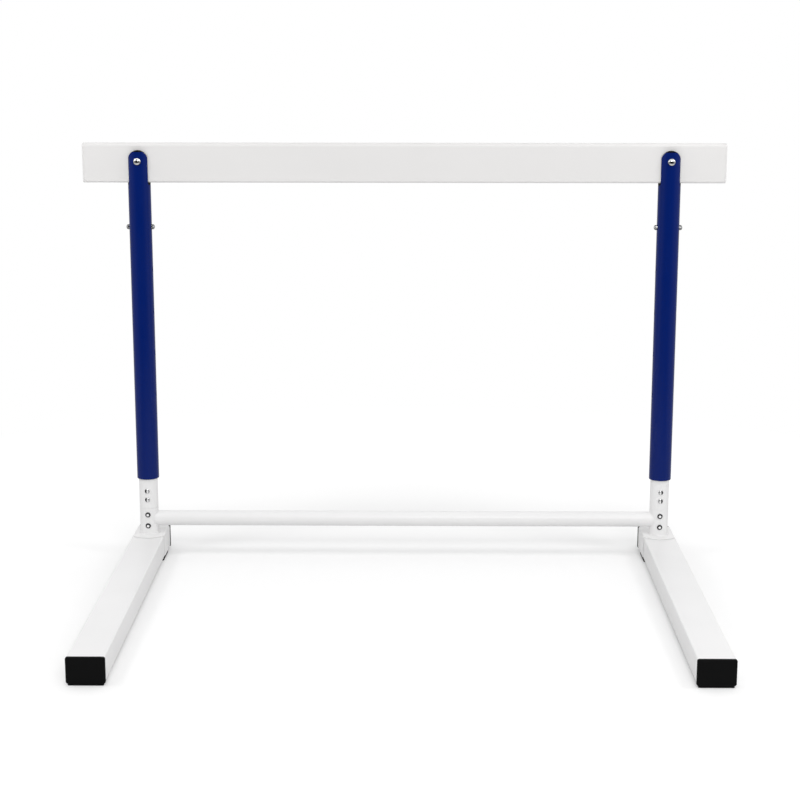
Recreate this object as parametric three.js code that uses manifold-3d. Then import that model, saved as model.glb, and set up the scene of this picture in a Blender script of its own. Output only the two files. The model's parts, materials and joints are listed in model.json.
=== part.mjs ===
// Adjustable track hurdle: a board held in two forked telescoping uprights on a welded foot frame.
// Lengths are in millimetres. X runs along the board, the feet point towards -Y, and Z is up.
import * as THREE from "three";
import { mergeVertices } from "three/addons/utils/BufferGeometryUtils.js";
import Module from "manifold-3d";

// Fits shared by all pieces
const seatGap = 0.3; // between pieces that rest on or in each other
const holeClearance = 0.3; // round a bolt or rivet in its hole
const cutOverrun = 6; // how far a cutting shape runs past what it cuts
const leastRound = 0.5; // of a section's inner corner
const mergeDistance = 0.0005; // vertices nearer than this are one

// Board
const boardTop = 762; // lowest setting
const boardOverhang = 99; // past each upright's axis
const boardHeight = 70;
const boardThickness = 18;
const boardWall = 2.2;
const boardTopRound = 6;
const boardLowRound = 2.8;
const endPlugFlange = 3;
const endPlugRound = 2;
const endPlugDepth = 24;
const endPlugWall = 1.8;

// Uprights
const uprightSpacing = 942;
const outerTubeRadius = 20;
const outerTubeWall = 1.5;
const outerTubeAboveJoint = 56; // its low end, over the joint of inner tube and post
const innerTubeRadius = 17;
const innerTubeWall = 1.5;
const innerTubeAboveButton = 27;
const guideSleeveLength = 26;
const guideSleeveSetback = 2;
const guidePlugHead = 6;
const guidePlugDepth = 11;
const guidePlugBore = 9;

// Fork at the top of each outer tube, and the insert in it
const earDrop = 12.5; // of the head's round top below the board's top
const earCrown = 2.9; // of that round top, where the insert's lip lies on the ear
const slotCornerRound = 3;
const insertEdge = 1; // of the insert's cheeks, seen beside the board
const insertFloor = 3.7; // under the board, on the tube's shoulders
const insertPlugDepth = 28;
const insertPlugWall = 3;
const forkBoltDrop = 32; // below the board's top

// Height setting: a sprung button in the inner tube and a row of holes in the outer one
const heightStep = 76.2;
const heightSettings = 5;
const buttonBelowShoulder = 75; // of the fork, in the lowest setting
const buttonRadius = 4.5;
const buttonProud = 5.5; // beyond the outer tube
const buttonDome = 3.4;
const buttonFlangeRadius = 6;
const buttonFlange = 2;
const buttonClearance = 0.5; // round the button in both tubes
const springThickness = 1;
const springWidth = 9;
const springArmTop = 9; // above the button's axis
const springArmFlat = 8; // below the button's axis
const springBendRadius = 5;
const springLength = 58; // from the button's axis down to the bend's centre

// Crossbar bolts
const forkBoltRadius = 3;
const forkBoltHeadRadius = 6.6;
const forkBoltHeadDome = 4.4;
const forkBoltThreadPast = 5; // into the cap nut
const forkWasherRadius = 8;
const forkWasherThickness = 1.6;
const forkNutAcross = 10;
const forkNutHeight = 5;
const forkNutDome = 4.5;

// Foot frame
const legLength = 700;
const legWidth = 58;
const legHeight = 40;
const legWall = 1.6;
const legCorner = 2.5;
const legLow = 4;
const legBehindUpright = 45;
const capFlange = 4;
const capFlangeRound = 1.4;
const capLip = 1; // beyond the leg's sides, and beyond the saddle's folded side
const rearCapLip = 0.3; // beyond the saddle's top and the leg's outer side
const capPlugDepth = 22;
const capPlugWall = 2;
const footWidth = 54;
const footCorner = 2;
const footDepth = 20;
const footSetback = 1.2; // behind the cap's face
const footWeb = 6; // how far the foot runs up the flange
const padLength = 58;
const padWidth = 54;
const padBehindUpright = 24;
const saddleThickness = 1.2;
const saddleLow = 6.5;
const saddleInset = 2; // of its outer edge from the leg's outer side
const saddleAhead = 21; // of the upright's axis, at the sides
const saddleBulge = 17; // further ahead on the centre line
const jointAboveSaddle = 48.9; // where the inner tube stands on the post
const weldLeg = 3.5;
const crossTubeRadius = 14;
const crossTubeWall = 1.5;
const crossTubeBelowJoint = 21.4;
const spigotAboveJoint = 48;
const spigotWall = 2;
const rivetsAboveJoint = [33.5, 17.3];
const rivetRadius = 2;
const rivetHeadRadius = 4.5;
const rivetDome = 2.2;
const rivetPast = 1; // inside the spigot
const baseBoltsBelowJoint = [11.4, 32.3];
const baseBoltRadius = 3;
const baseBoltHeadRadius = 5;
const baseBoltHeadDome = 2.8;
const baseBoltPast = 1.6; // behind the nut
const baseNutAcross = 10;
const baseNutHeight = 5;

// Facets
const tubeSides = 24;
const smallSides = 12;
const cornerSteps = 3;
const bevelSteps = 2;
const domeSteps = 3;
const smallDomeSteps = 2;
const bendSteps = 6;
const earSteps = 12;
const bowSteps = 8;

// Places that follow from the sizes above
const boardLength = uprightSpacing + 2 * boardOverhang;
const boardLow = boardTop - boardHeight;
const outerTubeBore = outerTubeRadius - outerTubeWall;
const innerTubeBore = innerTubeRadius - innerTubeWall;
const insertInner = boardThickness / 2 + seatGap;
const slotHalf = insertInner + insertEdge;
const shoulderHeight = boardLow - seatGap - insertFloor - seatGap;
const earTop = boardTop - earDrop;
const earRadius = Math.sqrt(outerTubeRadius ** 2 - slotHalf ** 2);
const earCentre = earTop - earRadius;
const earLip = earTop - earCrown; // the ear's flat top
const forkBoltHeight = boardTop - forkBoltDrop;
const buttonHeight = shoulderHeight - buttonBelowShoulder;
const innerTubeTop = buttonHeight + innerTubeAboveButton;
const legTop = legLow + legHeight;
const soleThickness = legLow - seatGap;
const saddleInner = legWidth / 2 + seatGap;
const saddleOuter = saddleInner + saddleThickness;
const saddleTop = legTop + seatGap + saddleThickness;
const jointHeight = saddleTop + jointAboveSaddle;
const outerTubeLow = jointHeight + outerTubeAboveJoint;
const crossTubeHeight = jointHeight - crossTubeBelowJoint;
const spigotTop = jointHeight + spigotAboveJoint;
const rivetHeights = rivetsAboveJoint.map((rise) => jointHeight + rise);
const baseBoltHeights = baseBoltsBelowJoint.map((drop) => jointHeight - drop);
const spigotRadius = innerTubeBore - seatGap;
const legFront = legBehindUpright - legLength;
const frameMiddle = (legBehindUpright + legFront) / 2;

const wasm = await Module();
wasm.setup();

// A closed three.js geometry as a solid, with the collapsed faces at its poles left out.
function solid(geometry) {
  const bare = new THREE.BufferGeometry().setAttribute("position", geometry.attributes.position);
  bare.setIndex(geometry.index);
  const merged = mergeVertices(bare, mergeDistance);
  const corners = merged.index.array;
  const faces = [];
  for (let i = 0; i < corners.length; i += 3) {
    const [a, b, c] = corners.slice(i, i + 3);
    if (a !== b && b !== c && c !== a) faces.push(a, b, c);
  }
  return new wasm.Manifold(
    new wasm.Mesh({
      numProp: 3,
      vertProperties: merged.attributes.position.array,
      triVerts: new Uint32Array(faces),
    }),
  );
}

// Turns a geometry made along +Z so that it runs along the named axis, with no mirroring.
function alongAxis(geometry, axis) {
  const turned = new THREE.Matrix4();
  if (axis === "x") {
    turned.makeBasis(new THREE.Vector3(0, 1, 0), new THREE.Vector3(0, 0, 1), new THREE.Vector3(1, 0, 0));
  }
  if (axis === "y") {
    turned.makeBasis(new THREE.Vector3(1, 0, 0), new THREE.Vector3(0, 0, 1), new THREE.Vector3(0, -1, 0));
  }
  return geometry.applyMatrix4(turned);
}

// An outline drawn across an axis, extruded between two places on it.
// Across x the outline is (y, z), across y it is (x, z), and across z it is (x, y).
function prism(axis, outline, from, to, round = 0) {
  const geometry = new THREE.ExtrudeGeometry(outline, {
    depth: to - from - 2 * round,
    bevelEnabled: round > 0,
    bevelThickness: round,
    bevelSize: round,
    bevelOffset: -round,
    bevelSegments: bevelSteps,
    curveSegments: cornerSteps,
  });
  geometry.translate(0, 0, (axis === "y" ? -to : from) + round);
  return solid(alongAxis(geometry, axis));
}

// A round bar along an axis. The place gives its middle line on the two other axes.
function rod(axis, radius, from, to, { x = 0, y = 0, z = 0, sides = tubeSides } = {}) {
  const geometry = new THREE.CylinderGeometry(radius, radius, to - from, sides);
  geometry.rotateX(Math.PI / 2).translate(0, 0, (axis === "y" ? -1 : 1) * ((from + to) / 2));
  alongAxis(geometry, axis).translate(x, y, z);
  return solid(geometry);
}

// A turned piece about an axis: the profile is a list of [radius, place along the axis].
function turnedPiece(axis, profile, { x = 0, y = 0, z = 0, sides = smallSides } = {}) {
  const points = profile.map(([radius, along]) => new THREE.Vector2(radius, along));
  const geometry = new THREE.LatheGeometry(points, sides);
  if (axis === "x") geometry.rotateZ(-Math.PI / 2);
  if (axis === "z") geometry.rotateX(Math.PI / 2);
  geometry.translate(x, y, z);
  return solid(geometry);
}

// A rounded quarter section from the pole of a dome down to its rim, as [radius, place along the axis].
function domeProfile(radius, rim, pole, steps = domeSteps) {
  return Array.from({ length: steps + 1 }, (_, step) => {
    const angle = (step / steps) * (Math.PI / 2);
    return [step === 0 ? 0 : radius * Math.sin(angle), rim + (pole - rim) * Math.cos(angle)];
  });
}

// A rectangle with its two top corners and its two low corners rounded.
function roundedOutline(half, low, high, topRound, lowRound) {
  const outline = new THREE.Shape();
  outline.moveTo(lowRound - half, low);
  outline.lineTo(half - lowRound, low);
  outline.absarc(half - lowRound, low + lowRound, lowRound, -Math.PI / 2, 0);
  outline.lineTo(half, high - topRound);
  outline.absarc(half - topRound, high - topRound, topRound, 0, Math.PI / 2);
  outline.lineTo(topRound - half, high);
  outline.absarc(topRound - half, high - topRound, topRound, Math.PI / 2, Math.PI);
  outline.lineTo(-half, low + lowRound);
  outline.absarc(lowRound - half, low + lowRound, lowRound, Math.PI, 1.5 * Math.PI);
  return outline;
}

// A strip of even thickness along a line of points.
function stripOutline(points, thickness) {
  const sideOf = (sign) =>
    points.map((point, i) => {
      const before = points[Math.max(i - 1, 0)];
      const after = points[Math.min(i + 1, points.length - 1)];
      const along = after.clone().sub(before).normalize();
      return new THREE.Vector2(-along.y, along.x).multiplyScalar((sign * thickness) / 2).add(point);
    });
  return new THREE.Shape([...sideOf(1), ...sideOf(-1).reverse()]);
}

// Board section, inset from its outer surface.
function boardOutline(inset) {
  return roundedOutline(
    boardThickness / 2 - inset,
    boardLow + inset,
    boardTop - inset,
    boardTopRound - inset,
    Math.max(boardLowRound - inset, leastRound),
  );
}

function makeBoard() {
  const reach = boardLength / 2 - endPlugFlange - seatGap;
  let board = prism("x", boardOutline(0), -reach, reach);
  board = board.subtract(prism("x", boardOutline(boardWall), -reach - cutOverrun, reach + cutOverrun));
  for (const side of [-1, 1]) {
    board = board.subtract(
      rod("y", forkBoltRadius + holeClearance, -boardThickness, boardThickness, {
        x: (side * uprightSpacing) / 2,
        z: forkBoltHeight,
        sides: smallSides,
      }),
    );
  }
  return board;
}

// The plug in the board's +X end. The other end's is the same piece turned half round.
function makeEndPlug() {
  const face = boardLength / 2;
  const seat = face - endPlugFlange;
  const flange = prism("x", boardOutline(0), seat - cutOverrun, face, endPlugRound);
  const shank = boardOutline(boardWall + seatGap);
  const hollow = boardOutline(boardWall + seatGap + endPlugWall);
  const plug = prism("x", shank, seat - endPlugDepth, seat + endPlugFlange / 2);
  const behind = prism("x", boardOutline(-cutOverrun), seat - endPlugDepth - cutOverrun, seat);
  return flange
    .subtract(behind)
    .add(plug)
    .subtract(prism("x", hollow, seat - endPlugDepth - cutOverrun, seat));
}

// The slot across the tube's head as a (y, z) outline, with its low corners rounded.
function slotOutline(inset) {
  const round = slotCornerRound - inset;
  return roundedOutline(slotHalf - inset, shoulderHeight + inset, earTop + cutOverrun, round, round);
}

// What is cut away round a round-headed ear, as an (x, z) outline.
function aroundEarOutline(radius, centre) {
  const reach = outerTubeRadius + cutOverrun;
  const outline = new THREE.Shape();
  outline.moveTo(-reach, centre);
  for (let step = 0; step <= earSteps; step++) {
    const angle = Math.PI * (1 - step / earSteps);
    outline.lineTo(radius * Math.cos(angle), centre + radius * Math.sin(angle));
  }
  outline.lineTo(reach, centre);
  outline.lineTo(reach, centre + reach + cutOverrun);
  outline.lineTo(-reach, centre + reach + cutOverrun);
  return outline;
}

function makeOuterTube() {
  const reach = outerTubeRadius + cutOverrun;
  let tube = rod("z", outerTubeRadius, outerTubeLow, earLip);
  tube = tube.subtract(rod("z", outerTubeBore, outerTubeLow - cutOverrun, earTop + cutOverrun));
  tube = tube.subtract(prism("x", slotOutline(0), -reach, reach));
  tube = tube.subtract(prism("y", aroundEarOutline(earRadius, earCentre), -reach, reach));
  tube = tube.subtract(
    rod("y", forkBoltRadius + holeClearance, -reach, reach, { z: forkBoltHeight, sides: smallSides }),
  );
  for (let setting = 0; setting < heightSettings; setting++) {
    const z = buttonHeight - setting * heightStep;
    tube = tube.subtract(
      rod("x", buttonRadius + buttonClearance, -reach, reach, { z, sides: smallSides }),
    );
  }
  return tube;
}

// The insert fills the fork on both sides of the board. Its floor lies on the tube's shoulders,
// and a lip on each cheek lies on the ear and carries its round outline on.
function makeForkInsert() {
  const reach = outerTubeRadius + cutOverrun;
  const plugRadius = outerTubeBore - seatGap;
  const plugLow = shoulderHeight - insertPlugDepth;
  const floor = rod("z", outerTubeRadius, shoulderHeight, shoulderHeight + insertFloor + seatGap);
  let insert = rod("z", plugRadius, plugLow, earTop);
  insert = insert.add(rod("z", outerTubeRadius, earLip + seatGap, earTop));
  insert = insert.subtract(prism("y", aroundEarOutline(earRadius, earCentre), -reach, reach));
  insert = insert.add(floor.intersect(prism("x", slotOutline(seatGap), -reach, reach)));
  insert = insert.subtract(
    prism(
      "x",
      roundedOutline(insertInner, boardLow - seatGap, earTop + reach, slotCornerRound, slotCornerRound / 2),
      -reach,
      reach,
    ),
  );
  insert = insert.subtract(
    rod("z", plugRadius - insertPlugWall, plugLow - cutOverrun, shoulderHeight),
  );
  return insert.subtract(
    rod("y", forkBoltRadius + holeClearance, -reach, reach, { z: forkBoltHeight, sides: smallSides }),
  );
}

function makeForkBolt() {
  const seat = -(outerTubeRadius + seatGap);
  const end = outerTubeRadius + seatGap + forkWasherThickness + seatGap + forkBoltThreadPast;
  return turnedPiece(
    "y",
    [
      ...domeProfile(forkBoltHeadRadius, seat, seat - forkBoltHeadDome),
      [forkBoltRadius, seat],
      [forkBoltRadius, end],
      [0, end],
    ],
    { z: forkBoltHeight },
  );
}

function makeForkWasher() {
  const seat = outerTubeRadius + seatGap;
  const end = seat + forkWasherThickness;
  const place = { z: forkBoltHeight, sides: smallSides };
  return rod("y", forkWasherRadius, seat, end, place).subtract(
    rod("y", forkBoltRadius + holeClearance, seat - cutOverrun, end + cutOverrun, place),
  );
}

// A six-sided nut across y, of the given width across its flats.
function hexNut(across, seat, height, z) {
  const corner = across / Math.sqrt(3);
  return rod("y", corner, seat, seat + height, { z, sides: 6 });
}

function makeForkNut() {
  const seat = outerTubeRadius + seatGap + forkWasherThickness + seatGap;
  const rim = seat + forkNutHeight - seatGap;
  const dome = [
    [0, seat],
    [forkNutAcross / 2, seat],
    ...domeProfile(forkNutAcross / 2, rim, rim + forkNutDome).reverse(),
  ];
  return hexNut(forkNutAcross, seat, forkNutHeight, forkBoltHeight)
    .add(turnedPiece("y", dome, { z: forkBoltHeight }))
    .subtract(
      rod("y", forkBoltRadius + holeClearance, seat - cutOverrun, seat + forkBoltThreadPast + seatGap, {
        z: forkBoltHeight,
        sides: smallSides,
      }),
    );
}

function makeGuideSleeve() {
  const low = outerTubeLow + guideSleeveSetback;
  const high = low + guideSleeveLength;
  return rod("z", outerTubeBore - seatGap, low, high).subtract(
    rod("z", innerTubeRadius + seatGap, low - cutOverrun, high + cutOverrun),
  );
}

function makeInnerTube() {
  let tube = rod("z", innerTubeRadius, jointHeight + seatGap / 2, innerTubeTop);
  tube = tube.subtract(rod("z", innerTubeBore, jointHeight - cutOverrun, innerTubeTop + cutOverrun));
  tube = tube.subtract(
    rod("x", buttonRadius + buttonClearance, -outerTubeRadius, outerTubeRadius, {
      z: buttonHeight,
      sides: smallSides,
    }),
  );
  for (const z of rivetHeights) {
    tube = tube.subtract(
      rod("y", rivetRadius + holeClearance, -outerTubeRadius, 0, { z, sides: smallSides }),
    );
  }
  return tube;
}

function makeGuidePlug() {
  const skirt = innerTubeBore - seatGap;
  const seat = innerTubeTop + seatGap;
  const low = innerTubeTop - guidePlugDepth;
  return turnedPiece(
    "z",
    [
      [guidePlugBore, low],
      [skirt, low],
      [skirt, seat],
      [outerTubeBore - seatGap, seat],
      [outerTubeBore - seatGap, seat + guidePlugHead],
      [guidePlugBore, seat + guidePlugHead],
      [guidePlugBore, low],
    ],
    { sides: tubeSides },
  );
}

// Where the buttons' flanges meet the inner tube's bore.
const buttonSeat = Math.sqrt((innerTubeBore - seatGap) ** 2 - buttonFlangeRadius ** 2);

function makeButton(side) {
  const back = buttonSeat - buttonFlange;
  const tip = outerTubeRadius + buttonProud;
  const profile = [
    [0, back],
    [buttonFlangeRadius, back],
    [buttonFlangeRadius, buttonSeat],
    [buttonRadius, buttonSeat],
    ...domeProfile(buttonRadius, tip - buttonDome, tip).reverse(),
  ];
  const outwards = profile.map(([radius, along]) => [radius, side * along]);
  return turnedPiece("x", side > 0 ? outwards : outwards.reverse(), { z: buttonHeight });
}

function makeSnapSpring() {
  const arm = buttonSeat - buttonFlange - seatGap - springThickness / 2;
  const bend = buttonHeight - springLength;
  const line = [
    new THREE.Vector2(-arm, buttonHeight + springArmTop),
    new THREE.Vector2(-arm, buttonHeight - springArmFlat),
  ];
  for (let step = 0; step <= bendSteps; step++) {
    const angle = Math.PI * (1 + step / bendSteps);
    line.push(new THREE.Vector2(springBendRadius * Math.cos(angle), bend + springBendRadius * Math.sin(angle)));
  }
  line.push(new THREE.Vector2(arm, buttonHeight - springArmFlat));
  line.push(new THREE.Vector2(arm, buttonHeight + springArmTop));
  return prism("y", stripOutline(line, springThickness), -springWidth / 2, springWidth / 2);
}

function makeSpigot() {
  const low = saddleTop + seatGap;
  const reach = outerTubeRadius;
  let spigot = rod("z", spigotRadius, low, spigotTop);
  spigot = spigot.subtract(rod("z", spigotRadius - spigotWall, low - cutOverrun, spigotTop + cutOverrun));
  for (const z of rivetHeights) {
    spigot = spigot.subtract(rod("y", rivetRadius + holeClearance, -reach, 0, { z, sides: smallSides }));
  }
  for (const z of baseBoltHeights) {
    spigot = spigot.subtract(rod("y", baseBoltRadius + holeClearance, -reach, reach, { z, sides: smallSides }));
  }
  return spigot;
}

function makeRivet(z) {
  const seat = -(innerTubeRadius + seatGap);
  const end = -(spigotRadius - spigotWall - rivetPast);
  return turnedPiece(
    "y",
    [
      ...domeProfile(rivetHeadRadius, seat, seat - rivetDome, smallDomeSteps),
      [rivetRadius, seat],
      [rivetRadius, end],
      [0, end],
    ],
    { z },
  );
}

function makeBaseBolt(z) {
  const seat = -(innerTubeRadius + seatGap);
  const end = innerTubeRadius + seatGap + baseNutHeight + baseBoltPast;
  return turnedPiece(
    "y",
    [
      ...domeProfile(baseBoltHeadRadius, seat, seat - baseBoltHeadDome, smallDomeSteps),
      [baseBoltRadius, seat],
      [baseBoltRadius, end],
      [0, end],
    ],
    { z },
  );
}

function makeBaseNut(z) {
  const seat = innerTubeRadius + seatGap;
  return hexNut(baseNutAcross, seat, baseNutHeight, z).subtract(
    rod("y", baseBoltRadius + holeClearance, seat - cutOverrun, seat + baseNutHeight + cutOverrun, {
      z,
      sides: smallSides,
    }),
  );
}

// The post and its saddle are one weldment: a stub tube on a plate that lies over the leg's rear
// and folds down its inner side. Inward is 1 where the hurdle's middle is towards +X.
function makeBasePost(inward) {
  const rear = legBehindUpright;
  const ahead = -(saddleAhead + saddleBulge);
  const outer = roundedOutline(
    saddleOuter,
    saddleLow,
    saddleTop,
    legCorner + seatGap + saddleThickness,
    saddleThickness / 4,
  );
  const inner = roundedOutline(
    saddleInner,
    saddleLow - cutOverrun,
    legTop + seatGap,
    legCorner + seatGap,
    saddleThickness / 4,
  );
  const saddle = prism("y", outer, ahead, rear).subtract(
    prism("y", inner, ahead - cutOverrun, rear + cutOverrun),
  );
  // The front edge is one arc from the folded side round the post to the plate's outer edge.
  const edge = legWidth / 2 - saddleInset;
  const bow = (saddleOuter ** 2 + saddleBulge ** 2) / (2 * saddleBulge);
  const [start, end] = [-Math.asin(edge / bow), Math.asin(saddleOuter / bow)];
  const plan = new THREE.Shape();
  plan.moveTo(inward * (saddleOuter + cutOverrun), rear + cutOverrun);
  plan.lineTo(-inward * edge, rear + cutOverrun);
  for (let step = 0; step <= bowSteps; step++) {
    const angle = start + ((end - start) * step) / bowSteps;
    plan.lineTo(inward * bow * Math.sin(angle), ahead + bow - bow * Math.cos(angle));
  }
  plan.lineTo(inward * (saddleOuter + cutOverrun), -saddleAhead);
  const shapedSaddle = saddle.intersect(prism("z", plan, 0, saddleTop + cutOverrun));
  const low = saddleTop - saddleThickness / 2;
  const post = turnedPiece(
    "z",
    [
      [0, low],
      [innerTubeRadius + weldLeg, low],
      [innerTubeRadius + weldLeg, saddleTop],
      [innerTubeRadius + weldLeg / 3, saddleTop + weldLeg / 3],
      [innerTubeRadius, saddleTop + weldLeg],
      [innerTubeRadius, jointHeight - seatGap / 2],
      [innerTubeBore, jointHeight - seatGap / 2],
      [innerTubeBore, saddleTop],
      [0, saddleTop],
    ],
    { sides: tubeSides },
  );
  let weldment = shapedSaddle.add(post);
  for (const z of baseBoltHeights) {
    weldment = weldment.subtract(
      rod("y", baseBoltRadius + holeClearance, -outerTubeRadius, outerTubeRadius, { z, sides: smallSides }),
    );
  }
  return weldment;
}

// Each end is cut to the round of its post.
function makeCrossTube() {
  const reach = uprightSpacing / 2;
  const ends = reach + cutOverrun;
  const place = { z: crossTubeHeight, sides: tubeSides };
  let tube = rod("x", crossTubeRadius, -reach, reach, place);
  tube = tube.subtract(rod("x", crossTubeRadius - crossTubeWall, -ends, ends, place));
  for (const side of [-1, 1]) {
    tube = tube.subtract(rod("z", innerTubeRadius + seatGap, 0, jointHeight + cutOverrun, { x: side * reach }));
  }
  return tube;
}

// The leg's section, inset from its outer surface.
function legOutline(inset) {
  const corner = Math.max(legCorner - inset, leastRound);
  return roundedOutline(legWidth / 2 - inset, legLow + inset, legTop - inset, corner, corner);
}

function makeLeg() {
  return prism("y", legOutline(0), legFront, legBehindUpright).subtract(
    prism("y", legOutline(legWall), legFront - cutOverrun, legBehindUpright + cutOverrun),
  );
}

// A hollow plug that fits the leg's bore, open at its far end.
function capPlug(flangeSeat, into) {
  const [from, to] = into > 0 ? [flangeSeat, flangeSeat + capPlugDepth] : [flangeSeat - capPlugDepth, flangeSeat];
  const outer = legOutline(legWall + seatGap);
  const hollow = roundedOutline(
    legWidth / 2 - legWall - seatGap - capPlugWall,
    legLow + legWall + seatGap + capPlugWall,
    legTop - legWall - seatGap - capPlugWall,
    capPlugWall,
    capPlugWall,
  );
  const open = into > 0 ? [from + seatGap, to + cutOverrun] : [from - cutOverrun, to - seatGap];
  return prism("y", outer, from, to).subtract(prism("y", hollow, ...open));
}

function makeFrontCap() {
  const seat = legFront - seatGap;
  const face = seat - capFlange;
  const corner = legCorner + capLip;
  const outline = roundedOutline(legWidth / 2 + capLip, legLow - capLip, legTop + capLip, corner, corner);
  const behind = prism(
    "y",
    roundedOutline(legWidth, -legHeight, legTop + legHeight, corner, corner),
    seat,
    seat + legHeight,
  );
  const flange = prism("y", outline, face, seat + cutOverrun, capFlangeRound).subtract(behind);
  const sole = roundedOutline(footWidth / 2, 0, soleThickness, soleThickness / 4, soleThickness / 2);
  const web = roundedOutline(footWidth / 2, 0, footWeb, footCorner, footCorner);
  return flange
    .add(capPlug(seat - capFlange / 2, 1))
    .add(prism("y", sole, face + footSetback, seat + footDepth))
    .add(prism("y", web, face + footSetback, seat));
}

// It reaches further on the inner side, to cover the end of the saddle's fold.
function makeRearCap(inward) {
  const seat = legBehindUpright + seatGap;
  const face = seat + capFlange;
  const outerReach = legWidth / 2 + rearCapLip;
  const innerReach = saddleOuter + capLip;
  const half = (outerReach + innerReach) / 2;
  const aside = (inward * (innerReach - outerReach)) / 2;
  const outline = roundedOutline(half, legLow, saddleTop + rearCapLip, legCorner, legCorner);
  const before = prism(
    "y",
    roundedOutline(legWidth, -legHeight, legTop + legHeight, legCorner, legCorner),
    seat - legHeight,
    seat,
  );
  return prism("y", outline, seat - cutOverrun, face, capFlangeRound)
    .translate([aside, 0, 0])
    .subtract(before)
    .add(capPlug(seat + capFlange / 2, -1));
}

function makeRearPad() {
  const outline = roundedOutline(padWidth / 2, 0, soleThickness, soleThickness / 4, soleThickness / 4);
  return prism("y", outline, padBehindUpright - padLength, padBehindUpright);
}

// Finishes, one function call for each piece, so that every mesh has its own material.
const finishes = {
  boardWhite: { color: 0xeeeeec, roughness: 0.35, metalness: 0 },
  paintBlue: { color: 0x0c2470, roughness: 0.35, metalness: 0.1 },
  paintWhite: { color: 0xeeeeee, roughness: 0.3, metalness: 0.05 },
  capBlack: { color: 0x151515, roughness: 0.55, metalness: 0 },
  padRubber: { color: 0x1b1b1b, roughness: 0.85, metalness: 0 },
  guideNylon: { color: 0x2b2b2b, roughness: 0.5, metalness: 0 },
  boltChrome: { color: 0xd9dadb, roughness: 0.12, metalness: 1 },
  zincSteel: { color: 0xb4b7ba, roughness: 0.35, metalness: 1 },
  springSteel: { color: 0x84888c, roughness: 0.3, metalness: 1 },
};

function piece(name, body, finish) {
  const { vertProperties, triVerts, numProp } = body.getMesh();
  const places = [];
  for (let i = 0; i < vertProperties.length; i += numProp) places.push(...vertProperties.slice(i, i + 3));
  const indexed = new THREE.BufferGeometry();
  indexed.setAttribute("position", new THREE.Float32BufferAttribute(places, 3));
  indexed.setIndex(new THREE.Uint32BufferAttribute(triVerts, 1));
  const geometry = indexed.toNonIndexed();
  geometry.computeVertexNormals();
  const mesh = new THREE.Mesh(geometry, new THREE.MeshStandardMaterial(finishes[finish]));
  mesh.name = name;
  return mesh;
}

// What one upright carries, on its own axis, and is the same on both sides.
const uprightPieces = [
  ["outer_tube", makeOuterTube(), "paintBlue"],
  ["fork_insert", makeForkInsert(), "capBlack"],
  ["crossbar_bolt", makeForkBolt(), "boltChrome"],
  ["crossbar_washer", makeForkWasher(), "zincSteel"],
  ["crossbar_cap_nut", makeForkNut(), "zincSteel"],
  ["guide_sleeve", makeGuideSleeve(), "guideNylon"],
  ["inner_tube", makeInnerTube(), "paintWhite"],
  ["guide_plug", makeGuidePlug(), "guideNylon"],
  ["snap_spring", makeSnapSpring(), "springSteel"],
  ["spigot", makeSpigot(), "zincSteel"],
  ["leg", makeLeg(), "paintWhite"],
  ["front_cap", makeFrontCap(), "capBlack"],
  ["rear_pad", makeRearPad(), "padRubber"],
];
["upper", "lower"].forEach((place, i) => {
  uprightPieces.push([`${place}_rivet`, makeRivet(rivetHeights[i]), "boltChrome"]);
  uprightPieces.push([`${place}_base_bolt`, makeBaseBolt(baseBoltHeights[i]), "boltChrome"]);
  uprightPieces.push([`${place}_base_nut`, makeBaseNut(baseBoltHeights[i]), "zincSteel"]);
});

const hurdle = new THREE.Group();
const uprightPlane = new THREE.Group(); // the origin lies under the middle of the foot frame
uprightPlane.position.y = -frameMiddle;
hurdle.add(uprightPlane);

uprightPlane.add(piece("crossbar", makeBoard(), "boardWhite"));
uprightPlane.add(piece("cross_tube", makeCrossTube(), "paintWhite"));
const endPlug = makeEndPlug();
const button = { outward: makeButton(1), inward: makeButton(-1) };
for (const [name, side] of [
  ["left", -1],
  ["right", 1],
]) {
  const plug = piece(`${name}_end_plug`, endPlug, "boardWhite");
  plug.rotation.z = side > 0 ? 0 : Math.PI;
  uprightPlane.add(plug);

  const upright = new THREE.Group();
  upright.position.x = (side * uprightSpacing) / 2;
  uprightPlane.add(upright);
  for (const [part, body, finish] of uprightPieces) upright.add(piece(`${name}_${part}`, body, finish));
  upright.add(piece(`${name}_base_post`, makeBasePost(-side), "paintWhite"));
  upright.add(piece(`${name}_rear_cap`, makeRearCap(-side), "capBlack"));
  const [outer, inner] = side > 0 ? [button.outward, button.inward] : [button.inward, button.outward];
  upright.add(piece(`${name}_outer_button`, outer, "boltChrome"));
  upright.add(piece(`${name}_inner_button`, inner, "boltChrome"));
}

export default hurdle;
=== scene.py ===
"""Dresses the adjustable track hurdle: its board, forked uprights, foot frame and a plain studio."""

import json
from math import cos, pi, radians, sin, sqrt

import bmesh
import bpy
from bpy.props import FloatProperty, FloatVectorProperty, IntProperty, PointerProperty
from bpy.types import Operator, Panel, PropertyGroup
from mathutils import Matrix, Vector


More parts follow.
